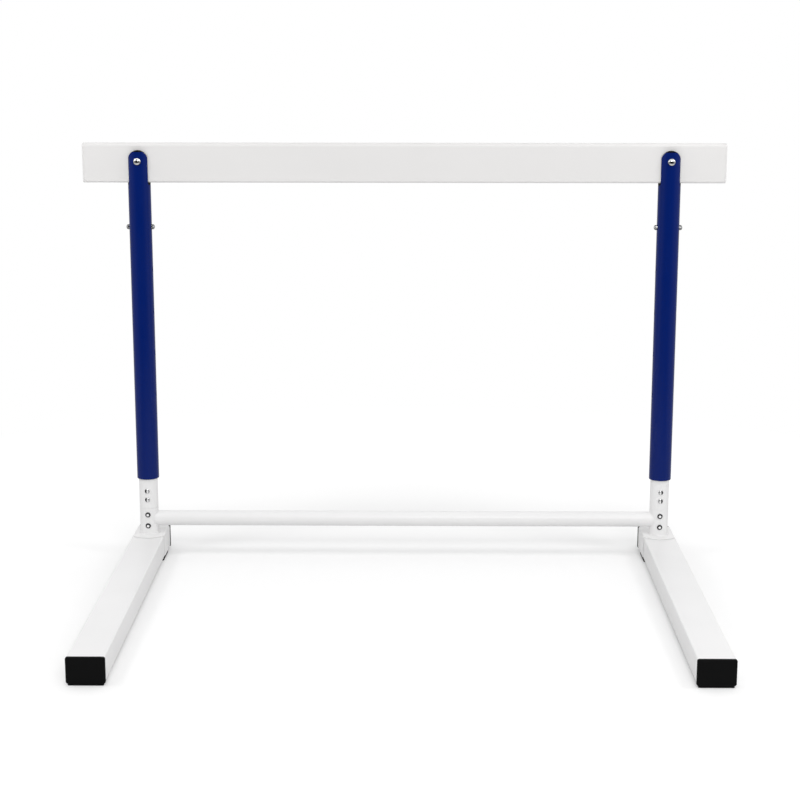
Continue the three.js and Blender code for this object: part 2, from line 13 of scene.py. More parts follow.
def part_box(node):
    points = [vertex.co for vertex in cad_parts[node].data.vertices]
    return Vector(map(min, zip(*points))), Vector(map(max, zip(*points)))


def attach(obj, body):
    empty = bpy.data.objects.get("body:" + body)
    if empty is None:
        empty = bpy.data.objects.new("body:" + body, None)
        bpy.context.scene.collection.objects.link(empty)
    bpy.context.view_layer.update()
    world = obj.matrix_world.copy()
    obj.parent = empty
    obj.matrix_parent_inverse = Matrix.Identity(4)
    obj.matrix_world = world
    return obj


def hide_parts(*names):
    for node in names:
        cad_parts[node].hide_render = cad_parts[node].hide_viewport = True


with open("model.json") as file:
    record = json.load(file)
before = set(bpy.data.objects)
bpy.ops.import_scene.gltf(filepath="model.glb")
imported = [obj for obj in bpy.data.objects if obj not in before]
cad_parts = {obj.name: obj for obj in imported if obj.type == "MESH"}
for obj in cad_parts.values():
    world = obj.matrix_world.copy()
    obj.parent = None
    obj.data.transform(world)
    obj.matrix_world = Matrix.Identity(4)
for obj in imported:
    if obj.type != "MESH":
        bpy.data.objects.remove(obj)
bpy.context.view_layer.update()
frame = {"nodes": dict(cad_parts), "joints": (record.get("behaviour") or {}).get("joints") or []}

bl_info = {
    "name": "Track Hurdle",
    "version": (1, 0, 0),
    "blender": (4, 5, 0),
    "location": "View3D > Sidebar > Hurdle",
    "description": "Builds the visible pieces of an adjustable track hurdle on its CAD frame",
    "category": "Object",
}

SIDES = ("left", "right")
LEVELS = ("upper", "lower")
GAP = 0.0003  # between pieces that rest on each other
REACH = 0.03  # how far a cutting shape runs past what it cuts
TOUCH = 1e-6  # points nearer than this are level with each other
HOLE_ROWS = 5  # height settings in each outer tube
PAD_GROOVES = 4  # under each rear pad
WHITE = (1, 1, 1, 1)
FADE = (0.6, 1.6)  # how far from the middle the floor starts and ends to fade to plain white
NEAR = (0.4, 2.5)  # how far from the posts the floor starts and ends to darken in mirrored rays
FRONT = (-1.0, -0.3)  # Y of a direction, where the front's dark starts and ends to lighten
FRONT_LIGHT = 0.04  # what mirrored rays see of the front, against 1 for white


def length(name, description, default):
    return FloatProperty(name=name, description=description, default=default, unit="LENGTH", precision=4)


def amount(name, description, default):
    return FloatProperty(name=name, description=description, default=default, min=0.0)


def turned(name, description, degrees):
    return FloatProperty(name=name, description=description, default=radians(degrees), unit="ROTATION")


def paint(name, description, default):
    return FloatVectorProperty(
        name=name, description=description, default=default, subtype="COLOR", size=3, min=0.0, max=1.0
    )


class HurdleSizes(PropertyGroup):
    """Sizes that the CAD boxes don't give, such as walls and rounded edges."""

    tube_sides: IntProperty(name="Tube sides", description="Facets round each tube", default=96)
    fine_sides: IntProperty(name="Fitting sides", description="Facets round bolts", default=48)
    edge_break: length("Edge break", "Small rounding on cut and moulded edges", 0.0003)
    board_wall: length("Board wall", "Wall of the hollow board", 0.0022)
    board_top_round: length("Board top round", "Rounding of the upper edges", 0.006)
    board_low_round: length("Board low round", "Rounding of the lower edges", 0.004)
    seam_gap: length("Seam gap", "Gap and broken edge at the end plugs", 0.0001)
    plug_flange: length("End plug flange", "Thickness outside the board", 0.003)
    plug_round: length("End plug round", "Rounding of the outer face", 0.0026)
    plug_wall: length("Plug wall", "Wall of the moulded plugs", 0.0018)
    tube_wall: length("Tube wall", "Wall of the upright tubes", 0.0015)
    slot_edge: length("Slot edge", "Width of insert seen between board and ear", 0.001)
    slot_round: length("Slot round", "Rounding of the fork's low corners", 0.003)
    insert_floor: length("Insert floor", "Thickness under the board", 0.0037)
    insert_wall: length("Insert wall", "Wall of the plug in the tube", 0.003)
    setting_hole: length("Setting hole", "Radius of the buttons' holes", 0.005)
    bolt_shank: length("Bolt shank", "Radius of the bolts", 0.003)
    rivet_shank: length("Rivet shank", "Radius of the rivets", 0.002)
    bolt_dome: length("Crossbar bolt dome", "Height of the heads", 0.0044)
    base_bolt_dome: length("Base bolt dome", "Height of the heads", 0.0028)
    rivet_dome: length("Rivet dome", "Height of the heads", 0.0022)
    nut_height: length("Nut height", "Height of the six-sided part", 0.005)
    button_radius: length("Button radius", "Radius of the snap buttons", 0.0045)
    button_dome: length("Button dome", "Height of the round tips", 0.0034)
    button_flange: length("Button flange", "Thickness of the inner flange", 0.002)
    saddle_sheet: length("Saddle sheet", "Thickness of the saddle over the leg", 0.0012)
    saddle_bulge: length("Saddle bulge", "How far the front edge bows out", 0.017)
    joint_edge: length("Joint edge", "Rounding of the rims at the joint", 0.0001)
    joint_gap: length("Joint gap", "Gap left between post and tube", 0.00016)
    weld_radius: length("Weld radius", "Radius of the bead round the post", 0.0017)
    mouth_weld_radius: length("Cross tube weld", "Radius of the bead at the cross tube's ends", 0.0007)
    leg_wall: length("Leg wall", "Wall of the legs", 0.0016)
    leg_corner: length("Leg corner", "Rounding of the legs' corners", 0.0025)
    cap_flange: length("Cap flange", "Thickness of the leg caps", 0.004)
    cap_round: length("Cap round", "Rounding of the caps' outer faces", 0.0014)
    cap_shoulder: length("Cap shoulder", "Rounding of the rear caps' outer top corner", 0.006)
    foot_width: length("Foot width", "Width of the foot under the front cap", 0.054)
    foot_setback: length("Foot setback", "How far the foot stands behind the cap's face", 0.0012)
    foot_reach: length("Foot reach", "How far the foot reaches under the leg", 0.0197)
    foot_web: length("Foot web", "Height of the foot where it joins the cap", 0.006)
    foot_corner: length("Foot corner", "Rounding of the foot's long edges", 0.002)
    sole: length("Sole", "Thickness of the foot and of the pads", 0.0037)
    pad_lip: length("Pad lip", "How far the pads reach inwards past their box", 0.0022)
    pad_corner: length("Pad corner", "Rounding of the pads' upright edges", 0.004)
    pad_groove: length("Pad groove", "Radius of the grooves under the pads", 0.0012)


class HurdleFinish(PropertyGroup):
    """Colours and gloss of the finishes."""

    board_colour: paint("Board", "Plastic board and its end plugs", (0.752, 0.743, 0.737))
    upright_colour: paint("Uprights", "Powder coat of the forked tubes", (0.0006, 0.0116, 0.127))
    foot_colour: paint("Foot frame", "Powder coat of legs, posts and cross tube", (0.852, 0.848, 0.848))
    cap_colour: paint("Mouldings", "Leg caps and fork inserts", (0.0012, 0.0013, 0.0014))
    pad_colour: paint("Pads", "Rubber under the legs", (0.012, 0.012, 0.012))
    guide_colour: paint("Guides", "Nylon plugs and sleeves between the tubes", (0.024, 0.024, 0.025))
    chrome_colour: paint("Bright fittings", "Bolts, rivets and buttons", (0.78, 0.785, 0.79))
    zinc_colour: paint("Plated fittings", "Nuts, washers and spigots", (0.52, 0.53, 0.54))
    spring_colour: paint("Springs", "Clips behind the buttons", (0.23, 0.24, 0.25))
    # Painted dark reflection on the bolt, rivet and button heads
    painted_dark_reflection_colour: paint("Blackened", "Dark parts of the heads", (0.02, 0.02, 0.021))
    # Painted highlight on those heads, laid on as a white non-metal
    painted_highlight_colour: paint("Coated", "Painted parts of the heads", (0.86, 0.86, 0.865))
    upright_roughness: amount("Upright roughness", "Gloss of the uprights' coat", 0.17)
    foot_roughness: amount("Foot roughness", "Gloss of the foot frame's coat", 0.30)


class HurdleStudio(PropertyGroup):
    """Camera, floor and light."""

    camera_place: FloatVectorProperty(
        name="Camera place", description="Where the camera stands", default=(0.02000, -2.82944, 0.96944),
        size=3, subtype="XYZ", unit="LENGTH",
    )
    camera_pitch: turned("Camera pitch", "How far the camera looks down", 12.110)
    camera_yaw: turned("Camera yaw", "How far the camera looks to the right", -0.493)
    camera_roll: turned("Camera roll", "Turn of the camera about its own axis", 0.039)
    camera_lens: FloatProperty(
        name="Camera lens", description="Focal length on a 36 mm sensor", default=79.084, unit="CAMERA"
    )
    floor_colour: paint("Floor", "Pale floor under the hurdle", (0.93, 0.93, 0.93))
    floor_bounce: amount("Floor bounce", "Share of light the floor throws back on the hurdle", 0.80)
    floor_reach: length("Floor reach", "Half the width of the floor", 60.0)
    floor_lift: amount("Floor lift", "Share of plain white in the floor near the hurdle", 0.15)
    floor_glow: amount("Floor glow", "Brightness of that white", 1.5)
    # Reach of the floor's painted contact shade
    contact_reach: length("Contact reach", "How near a piece the floor loses its lift to white", 0.1)
    sky_strength: amount("Sky", "Even light from all sides", 0.69)
    side_strength: amount("Side lights", "Soft lights at both sides", 3.4)
    box_strength: amount("Soft box", "Soft box above the camera", 25.0)
    right_glint: amount("Right glint", "Small lamp that draws highlights", 1.2)
    left_glint: amount("Left glint", "Small lamp that draws highlights", 0.6)


# Shapes

def spun(profile, sides, closed=False):
    """Spins (radius, height) points round the Z axis. A closed profile makes a ring."""
    shape = bmesh.new()
    points = [shape.verts.new((radius, 0, height)) for radius, height in profile]
    pairs = list(zip(points, points[1:])) + ([(points[-1], points[0])] if closed else [])
    edges = [shape.edges.new(pair) for pair in pairs]
    bmesh.ops.spin(
        shape, geom=points + edges, cent=(0, 0, 0), axis=(0, 0, 1), dvec=(0, 0, 0),
        angle=2 * pi, steps=sides, use_merge=True, use_normal_flip=False, use_duplicate=False,
    )
    return merged(shape)


def merged(shape):
    bmesh.ops.remove_doubles(shape, verts=shape.verts, dist=TOUCH)
    bmesh.ops.recalc_face_normals(shape, faces=shape.faces)
    return shape


def laid(shape, axis, middle):
    """Turns a shape made along Z to run along the named axis, and moves it across onto the middle."""
    turns = {"X": Matrix.Rotation(pi / 2, 3, "Y"), "Y": Matrix.Rotation(-pi / 2, 3, "X")}
    if axis in turns:
        bmesh.ops.rotate(shape, verts=shape.verts, cent=(0, 0, 0), matrix=turns[axis])
    step = Vector(middle)
    step["XYZ".index(axis)] = 0
    bmesh.ops.translate(shape, verts=shape.verts, vec=step)
    return shape


def rod(radius, low, high, sides, axis="Z", middle=(0, 0, 0)):
    return laid(spun([(0, low), (radius, low), (radius, high), (0, high)], sides), axis, middle)


def bore(sizes, radius, axis, middle):
    """A round cutter that runs past the middle both ways."""
    centre = middle["XYZ".index(axis)]
    return rod(radius, centre - REACH, centre + REACH, sizes.fine_sides, axis, middle)


def pipe(radius, inner, low, high, sides, axis="Z", middle=(0, 0, 0), edge=0.0, rings=()):
    """A tube with its rims broken by the edge, and extra rings of points beside its holes."""
    profile = [
        (inner + edge, low), (radius - edge, low), (radius, low + edge),
        *[(radius, ring) for ring in sorted(rings)],
        (radius, high - edge), (radius - edge, high), (inner + edge, high),
        (inner, high - edge), (inner, low + edge),
    ]
    return laid(spun(profile, sides, closed=True), axis, middle)


def dome(radius, rim, pole, steps=14):
    """A quarter round from a dome's pole down to its rim."""
    turns = [step / steps * pi / 2 for step in range(steps + 1)]
    return [(radius * sin(turn), rim + (pole - rim) * cos(turn)) for turn in turns]


def bar(lo, hi):
    """A rectangular bar between two corners, to be rounded and cut."""
    shape = bmesh.new()
    bmesh.ops.create_cube(shape, size=1.0)
    bmesh.ops.scale(shape, verts=shape.verts, vec=Vector(hi) - Vector(lo))
    bmesh.ops.translate(shape, verts=shape.verts, vec=(Vector(lo) + Vector(hi)) / 2)
    return shape


def rounded(shape, radius, accepts, segments=8):
    """Rounds the edges that the test accepts, given each edge's two ends."""
    edges = [edge for edge in shape.edges if accepts(edge.verts[0].co, edge.verts[1].co)]
    if not edges:
        raise RuntimeError("no edge to round")
    bmesh.ops.bevel(
        shape, geom=edges, offset=radius, offset_type="OFFSET", segments=segments,
        profile=0.5, affect="EDGES", material=-1,
    )
    return shape


def runs(a, b, axis):
    """Whether the edge between two points runs along an axis."""
    return abs(a[axis] - b[axis]) > TOUCH


def on_face(axis, level):
    """A test for the edges of the face that lies at a level of an axis."""
    return lambda a, b: max(abs(a[axis] - level), abs(b[axis] - level)) < TOUCH


def section_bar(lo, hi, along, top_round, low_round):
    """A bar along X (0) or Y (1) with its upper and lower long edges rounded."""
    shape = bar(lo, hi)
    middle = (lo[2] + hi[2]) / 2
    for radius, upper in ((top_round, True), (low_round, False)):
        rounded(shape, radius, lambda a, b: runs(a, b, along) and (a.z > middle) == upper)
    return shape


def inset_box(lo, hi, along, inset, past=0.0):
    """A box made smaller by the inset across its length, and longer past both ends."""
    step = Vector((inset, inset, inset))
    step[along] = -past
    return Vector(lo) + step, Vector(hi) - step


def linked(name, data):
    body = bpy.data.objects.new(name, data)
    bpy.context.scene.collection.objects.link(body)
    return body


def loose(shape, name="shape"):
    mesh = bpy.data.meshes.new(name)
    shape.to_mesh(mesh)
    shape.free()
    return linked(name, mesh)


def carve(base, *tools, operation="DIFFERENCE"):
    """Cuts the tools from the base, or joins or intersects them with it."""
    bodies = [loose(base)] + [loose(tool) for tool in tools]
    for tool in bodies[1:]:
        cut = bodies[0].modifiers.new("Carve", "BOOLEAN")
        cut.operation, cut.solver, cut.object = operation, "EXACT", tool
    result = bmesh.new()
    result.from_object(bodies[0], bpy.context.evaluated_depsgraph_get())
    for body in bodies:
        mesh = body.data
        bpy.data.objects.remove(body)
        bpy.data.meshes.remove(mesh)
    if not result.faces:
        raise RuntimeError("a cut left nothing")
    bmesh.ops.remove_doubles(result, verts=result.verts, dist=2 * TOUCH)
    return result


def boxed(name):
    """A CAD node's box and its middle."""
    lo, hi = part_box(name)
    return lo, hi, (lo + hi) / 2


def axis_of(name):
    return boxed(name)[2]


# Finishes

def fresh_tree(owner):
    """The emptied shader tree of a material or a world."""
    owner.use_nodes = True
    owner.node_tree.nodes.clear()
    return owner.node_tree


def node(tree, kind, inputs=None, **settings):
    """Adds a shader node with its settings, and sets or links its inputs."""
    made = tree.nodes.new("ShaderNode" + kind)
    for name, value in settings.items():
        setattr(made, name, value)
    for socket, value in (inputs or {}).items():
        if isinstance(value, bpy.types.NodeSocket):
            tree.links.new(value, made.inputs[socket])
        else:
            made.inputs[socket].default_value = value
    return made


def worked(tree, operation, first, second):
    """What a Math node makes of two numbers or sockets."""
    return node(tree, "Math", {0: first, 1: second}, operation=operation).outputs[0]


def vector(tree, operation, inputs, output="Vector"):
    """What a Vector Math node makes of its inputs."""
    return node(tree, "VectorMath", inputs, operation=operation).outputs[output]


def blend(tree, factor, first, second):
    """Mixes two colours or sockets by a factor, through the node's colour sockets."""
    return node(tree, "Mix", {0: factor, 6: first, 7: second}, data_type="RGBA").outputs[2]


def spread(tree, pattern, low, high, start=0.3, end=0.7, curve="LINEAR"):
    """Turns a pattern between start and end into numbers between low and high."""
    inputs = {"Value": pattern, "From Min": start, "From Max": end, "To Min": low, "To Max": high}
    return node(tree, "MapRange", inputs, interpolation_type=curve).outputs["Result"]


def noise(tree, place, scale, detail, rough=0.5, stretch=(1, 1, 1)):
    """A noise pattern in object space, finer along the axes that are stretched more."""
    moved = node(tree, "Mapping", {"Vector": place, "Scale": stretch}).outputs["Vector"]
    inputs = {"Vector": moved, "Scale": scale, "Detail": detail, "Roughness": rough}
    return node(tree, "TexNoise", inputs).outputs["Fac"]


def shaded(colour, share):
    return (*(channel * share for channel in colour), 1)


def finish(name, colour, shades, cloud, gloss, relief, marks=None, grain=None,
           specular=0.5, stops=(0.3, 0.7), heads=()):
    """A material in two shades of a colour by a cloud, its gloss varied by marks, with a raised grain.

    Cloud, marks and grain hold noise()'s scale, detail, roughness and stretch, and the last two are the
    cloud by default. Relief is the grain's height and strength. Heads make a metal, and pair
    attributes with the colours that they lay over it: painted dark reflections and painted highlights.
    """
    material = bpy.data.materials.new(name)
    tree = fresh_tree(material)
    place = node(tree, "TexCoord").outputs["Object"]
    ramp = node(tree, "ValToRGB", {"Fac": noise(tree, place, *cloud)})
    for stop, position, share in zip(ramp.color_ramp.elements, stops, reversed(shades)):
        stop.position, stop.color = position, shaded(colour, share)
    base = ramp.outputs["Color"]
    height, strength = relief
    raised = {"Height": noise(tree, place, *(grain or cloud)), "Distance": height, "Strength": strength}
    inputs = {
        "Roughness": spread(tree, noise(tree, place, *(marks or cloud)), *gloss),
        "Specular IOR Level": specular,
        "Normal": node(tree, "Bump", raised).outputs["Normal"],
    }
    for attribute, over in heads:
        layer = node(tree, "Attribute", attribute_name=attribute).outputs["Fac"]
        base = blend(tree, layer, base, shaded(over, 1))
        inputs["Metallic"] = worked(tree, "SUBTRACT", 1.0, layer)
    shader = node(tree, "BsdfPrincipled", {"Base Color": base, **inputs})
    node(tree, "OutputMaterial", {"Surface": shader.outputs["BSDF"]})
    return material


def finishes():
    """The materials by the record's slot names, each made once."""
    look = bpy.context.scene.hurdle_finish
    # Baked powder coat: a faint orange-peel skin and slight handling marks
    coat = {
        "shades": (1, 0.955), "cloud": (5, 3), "marks": (22, 5, 0.65),
        "relief": (0.00001, 0.4), "grain": (620, 1.5),
    }
    uprights, feet = look.upright_roughness, look.foot_roughness
    # Metal with a fine grain and gloss that varies in places; its heads get painted dark reflections and
    # painted highlights
    heads = (("painted_dark_reflection", look.painted_dark_reflection_colour), ("painted_highlight", look.painted_highlight_colour))
    metal = {"cloud": (130, 4, 0.6), "heads": heads}
    plans = {
        # Extruded board: faint lengthwise draw lines and a satin skin
        "board_white": ("Board white", look.board_colour, {
            "shades": (1, 0.972), "cloud": (6, 3, 0.5, (0.5, 1, 1)), "specular": 0.4,
            "gloss": (0.40, 0.48), "marks": (90, 4, 0.7, (0.25, 1, 1)),
            "relief": (0.00002, 0.5), "grain": (260, 3, 0.5, (0.012, 1, 1)),
        }),
        "blue_paint": ("Upright blue", look.upright_colour, {
            "gloss": (uprights - 0.02, uprights + 0.05), "specular": 0.15, **coat,
        }),
        "white_paint": ("Foot white", look.foot_colour, {
            "gloss": (feet - 0.02, feet + 0.05), "specular": 0.45, **coat,
        }),
        # Injection-moulded: fine spark-eroded grain with a slight sheen
        "black_plastic": ("Cap black", look.cap_colour, {
            "shades": (1.35, 0.75), "stops": (0.25, 0.75), "cloud": (1500, 3, 0.6), "specular": 0.12,
            "gloss": (0.44, 0.60), "marks": (28, 3), "relief": (0.0001, 0.6),
        }),
        # Nylon guides, waxy and a little mottled
        "guide_nylon": ("Guide nylon", look.guide_colour, {
            "shades": (1, 0.67), "cloud": (160, 3), "specular": 0.45,
            "gloss": (0.42, 0.58), "relief": (0.00004, 0.4),
        }),
        # Soft pads: matt rubber with dust in its pores
        "rubber": ("Pad rubber", look.pad_colour, {
            "shades": (1.7, 1), "stops": (0.4, 0.8), "cloud": (45, 4), "specular": 0.25,
            "gloss": (0.78, 0.95), "relief": (0.00012, 0.7), "grain": (900, 4, 0.7),
        }),
        "chrome": ("Bolt chrome", look.chrome_colour, {
            "shades": (1, 0.93), "gloss": (0.07, 0.15),
            "relief": (0.00001, 0.5), "grain": (800, 3), **metal,
        }),
        "zinc_steel": ("Zinc plate", look.zinc_colour, {
            "shades": (1, 0.86), "gloss": (0.28, 0.42),
            "relief": (0.00003, 0.5), "grain": (1400, 3), **metal,
        }),
        "spring_steel": ("Spring steel", look.spring_colour, {
            "shades": (1, 0.85), "gloss": (0.22, 0.34),
            "relief": (0.00002, 0.5), "grain": (1600, 3, 0.5, (1, 1, 0.04)), **metal,
        }),
    }
    return {
        slot: bpy.data.materials.get(name) or finish(name, colour, **plan)
        for slot, (name, colour, plan) in plans.items()
    }


def make(shape, name, body, slot, edge=0.0, angle=30, replaces=True):
    """A piece in its slot's finish that rides on a body and stands for the CAD node of its name."""
    made = loose(shape, name + "_form")
    made.data.shade_smooth()
    made.data.materials.append(finishes()[slot])
    if edge:
        soften = made.modifiers.new("Edges", "BEVEL")
        soften.width, soften.segments, soften.limit_method = edge, 2, "ANGLE"
        soften.angle_limit, soften.use_clamp_overlap = radians(angle), False
    else:
        made.data.set_sharp_from_angle(angle=radians(angle))
    made.modifiers.new("Normals", "WEIGHTED_NORMAL").keep_sharp = True
    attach(made, body)
    if replaces:
        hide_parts(name)


def weld(name, radius, steps, ripples, place):
    """A bead along the closed line that a full turn of place() draws. It swells at each ripple."""
    curve = bpy.data.curves.new("bead", "CURVE")
    curve.dimensions, curve.bevel_depth, curve.bevel_resolution = "3D", radius, 3
    line = curve.splines.new("POLY")
    line.points.add(steps - 1)
    line.use_cyclic_u = True
    swell = 0.14
    for step, knot in enumerate(line.points):
        knot.co = (*place(2 * pi * step / steps), 1)
        knot.radius = 1 - swell * (1 - abs(sin(pi * ripples * step / steps)))
    body = linked("bead", curve)
    mesh = bpy.data.meshes.new_from_object(body.evaluated_get(bpy.context.evaluated_depsgraph_get()))
    shape = bmesh.new()
    shape.from_mesh(mesh)
    bpy.data.meshes.remove(mesh)
    bpy.data.objects.remove(body)
    bpy.data.curves.remove(curve)
    make(merged(shape), name, "frame", "white_paint", angle=60, replaces=False)


# Pieces

def each_side(build):
    """Turns a method that builds one side into an execute that builds both."""
    def execute(self, context):
        for side in SIDES:
            build(self, context.scene.hurdle_sizes, side)
        return {"FINISHED"}

    return execute


def stopper(sizes, flange, name, around, along, outwards, thickness, wall, rounds, inner_rounds):
    """Joins a flange to a hollow plug in the bar around it, and gives the whole."""
    lo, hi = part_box(name)
    face, tip = (hi[along], lo[along]) if outwards > 0 else (lo[along], hi[along])
    seat = face - outwards * thickness
    plug = inset_box(*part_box(around), along, wall + GAP)
    hollow = inset_box(*plug, along, sizes.plug_wall)
    plug[0][along], plug[1][along] = sorted((tip, seat + outwards * thickness / 2))
    hollow[0][along], hollow[1][along] = sorted((tip - outwards * REACH, seat))
    shape = carve(flange, section_bar(*plug, along, *rounds), operation="UNION")
    return carve(shape, section_bar(*hollow, along, *inner_rounds))


def bolt_hole(sizes, side):
    """What a crossbar bolt needs cut from the pieces it passes."""
    return bore(sizes, sizes.bolt_shank + GAP, "Y", axis_of(side + "_crossbar_bolt"))


class HURDLE_OT_board(Operator):
    """Builds the board and the plugs in its ends"""

    bl_idname = "hurdle.board"
    bl_label = "Board"

    def execute(self, context):
        sizes = context.scene.hurdle_sizes
        lo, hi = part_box("crossbar")
        top, low, wall = sizes.board_top_round, sizes.board_low_round, sizes.board_wall
        seam = Vector((GAP - sizes.seam_gap, 0, 0))
        board = section_bar(lo - seam, hi + seam, 0, top, low)
        hollow = section_bar(*inset_box(lo, hi, 0, wall, REACH), 0, top - wall, low - wall)
        holes = [bolt_hole(sizes, side) for side in SIDES]
        make(carve(board, hollow, *holes), "crossbar", "carriage", "board_white", sizes.seam_gap)
        for side in SIDES:
            self.plug(sizes, side)
        return {"FINISHED"}

    def plug(self, sizes, side):
        name, top = side + "_end_plug", sizes.board_top_round
        lo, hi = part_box(name)
        outwards, face = (1, hi.x) if hi.x > 0 else (-1, lo.x)
        near, far = sorted((face, face - outwards * sizes.plug_flange))
        flange = section_bar((near, lo.y, lo.z), (far, hi.y, hi.z), 0, top, sizes.board_low_round)
        rounded(flange, sizes.plug_round, on_face(0, face), 6)
        top -= sizes.board_wall + GAP
        shape = stopper(
            sizes, flange, name, "crossbar", 0, outwards, sizes.plug_flange, sizes.board_wall,
            (top, sizes.edge_break), (top - sizes.plug_wall, sizes.edge_break),
        )
        make(shape, name, "carriage", "board_white")


def fork_sizes(sizes, side):
    """Half the fork's slot, its shoulders' height, and the radius and centre height of its ears."""
    tube_lo, tube_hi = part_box(side + "_outer_tube")
    board_lo, board_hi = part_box("crossbar")
    half = (board_hi.y - board_lo.y) / 2 + GAP + sizes.slot_edge
    shoulder = board_lo.z - GAP - sizes.insert_floor - GAP
    ear = sqrt(((tube_hi.x - tube_lo.x) / 2) ** 2 - half**2)
    return half, shoulder, ear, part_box(side + "_fork_insert")[1].z - ear


def block(middle, deep, low, high):
    """A bar across an upright axis, as deep both ways as given."""
    return bar((middle.x - REACH, middle.y - deep, low), (middle.x + REACH, middle.y + deep, high))


def around_ear(radius, centre, middle, sides):
    """What is cut away round a round-headed ear."""
    ear = rod(radius, middle.y - 2 * REACH, middle.y + 2 * REACH, sides, "Y", (middle.x, 0, centre))
    return carve(block(middle, REACH, centre, centre + 2 * REACH), ear)


def slot_block(half, low, high, middle, radius):
    """A block with its two low corners rounded, to cut a fork's slot."""
    slot = block(middle, half, low, high)
    return rounded(slot, radius, lambda a, b: runs(a, b, 0) and max(a.z, b.z) < low + TOUCH)


class HURDLE_OT_outer_tubes(Operator):
    """Builds the forked outer tubes with their rows of setting holes"""

    bl_idname = "hurdle.outer_tubes"
    bl_label = "Outer tubes"

    @each_side
    def execute(self, sizes, side):
        slide = next(joint for joint in frame["joints"] if joint["name"] == "height_slide")
        step = slide["range_m"][1] / (HOLE_ROWS - 1)
        lo, hi, middle = boxed(side + "_outer_tube")
        radius = (hi.x - lo.x) / 2
        half, shoulder, ear, centre = fork_sizes(sizes, side)
        button = axis_of(side + "_outer_button")
        settings = [button.z - row * step for row in range(HOLE_ROWS)]
        beside = sizes.setting_hole * 1.5
        rings = [z + way * beside for z in settings for way in (-1, 1)] + [shoulder - beside, centre]
        tube = pipe(
            radius, radius - sizes.tube_wall, lo.z, hi.z, sizes.tube_sides,
            middle=middle, edge=sizes.edge_break, rings=rings,
        )
        cuts = [
            slot_block(half, shoulder, hi.z + REACH, middle, sizes.slot_round),
            around_ear(ear, centre, middle, sizes.tube_sides),
            bolt_hole(sizes, side),
        ]
        for z in settings:
            cuts.append(bore(sizes, sizes.setting_hole, "X", (middle.x, middle.y, z)))
        make(carve(tube, *cuts), side + "_outer_tube", "carriage", "blue_paint", sizes.edge_break)


class HURDLE_OT_fork_inserts(Operator):
    """Builds the moulded inserts that hold the board in the forks"""

    bl_idname = "hurdle.fork_inserts"
    bl_label = "Fork inserts"

    @each_side
    def execute(self, sizes, side):
        sides = sizes.tube_sides
        lo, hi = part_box(side + "_fork_insert")
        tube_lo, tube_hi, middle = boxed(side + "_outer_tube")
        outer = (tube_hi.x - tube_lo.x) / 2
        plug = outer - sizes.tube_wall - GAP
        half, shoulder, ear, centre = fork_sizes(sizes, side)
        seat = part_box("crossbar")[0].z - GAP
        cheeks = carve(
            rod(plug, lo.z, hi.z, sides, middle=middle),
            rod(outer, tube_hi.z + GAP, hi.z, sides, middle=middle),
            operation="UNION",
        )
        cheeks = carve(cheeks, around_ear(ear, centre, middle, sides))
        shelf = carve(
            rod(outer, shoulder + GAP, shoulder + GAP + sizes.insert_floor, sides, middle=middle),
            block(middle, half - GAP, lo.z, hi.z),
            operation="INTERSECT",
        )
        insert = carve(
            carve(cheeks, shelf, operation="UNION"),
            slot_block(half - sizes.slot_edge, seat, hi.z + REACH, middle, sizes.slot_round / 2),
            rod(plug - sizes.insert_wall, lo.z - REACH, shoulder, sides, middle=middle),
            bolt_hole(sizes, side),
        )
        make(insert, side + "_fork_insert", "carriage", "black_plastic", sizes.edge_break)


def ramped(value, low, high):
    """0 below low, 1 above high and even between, also with low above high."""
    return min(1.0, max(0.0, (value - low) / (high - low)))


def paint_reflections(shape, middle, radius, seat, marks):
    """Writes how much painted dark reflection and painted highlight a head gets in front of its seat.

    The marks that paint these reflections take across (away from the hurdle's middle), up and out. All
    in them is in head radii.
    """
    layers = [shape.verts.layers.float.new(name) for name in ("painted_dark_reflection", "painted_highlight")]
    outwards = 1 if middle.x > 0 else -1
    for vert in shape.verts:
        if vert.co.y < seat + TOUCH:
            across = outwards * (vert.co.x - middle.x) / radius
            up = (vert.co.z - middle.z) / radius
            for layer, value in zip(layers, marks(across, up, sqrt(across**2 + up**2))):
                vert[layer] = value
    return shape


def ring_reflections(across, up, out):
    """A painted dark reflection ring round a painted highlight on the crown, as on the base bolts."""
    return ramped(out, 0.36, 0.56) * ramped(out, 1.08, 0.9), ramped(out, 0.56, 0.36)


def rivet_reflections(across, up, out):
    """Painted dark reflection on the outer side, a painted highlight in the middle and a lighter painted
    dark reflection on the inner side.
    """
    inner = 0.35 * ramped(across, -0.25, -0.5)
    return max(ramped(across, 0.12, 0.38) * 0.96, inner), ramped(abs(across + 0.06), 0.34, 0.16) * 0.8


def bolt_reflections(across, up, out):
    """Painted dark reflections as on the crossbar's bolts: a dot, a grey band and the lower rim."""
    dot = 0.9 * ramped(sqrt(across**2 + (up + 0.1) ** 2), 0.32, 0.16)
    band = 0.5 * ramped(abs(up + 0.12), 0.34, 0.18)
    rim = 0.95 * ramped(out, 0.74, 0.92) * ramped(up, 0.05, -0.35)
    return max(dot, band, rim), 0.0


def button_reflections(across, up, out):
    """Painted grey reflection all over and painted dark reflection above and below, as the snap buttons
    show from the front.
    """
    return 0.45 + 0.45 * ramped(abs(up), 0.3, 0.55), 0.0


def domed_pin(name, body, dome_height, shank, sides, marks):
    """A round-headed bolt or rivet along Y, its head towards the front."""
    lo, hi, middle = boxed(name)
    head = (hi.x - lo.x) / 2
    seat = lo.y + dome_height
    rim, chamfer = dome_height * 0.12, shank * 0.2
    profile = [
        *dome(head, seat - rim, lo.y), (head, seat), (shank, seat),
        (shank, hi.y - chamfer), (shank - chamfer, hi.y), (0, hi.y),
    ]
    shape = laid(spun(profile, sides), "Y", middle)
    # The marks paint dark reflections and highlights onto the head
    make(paint_reflections(shape, middle, head, seat, marks), name, body, "chrome", angle=40)


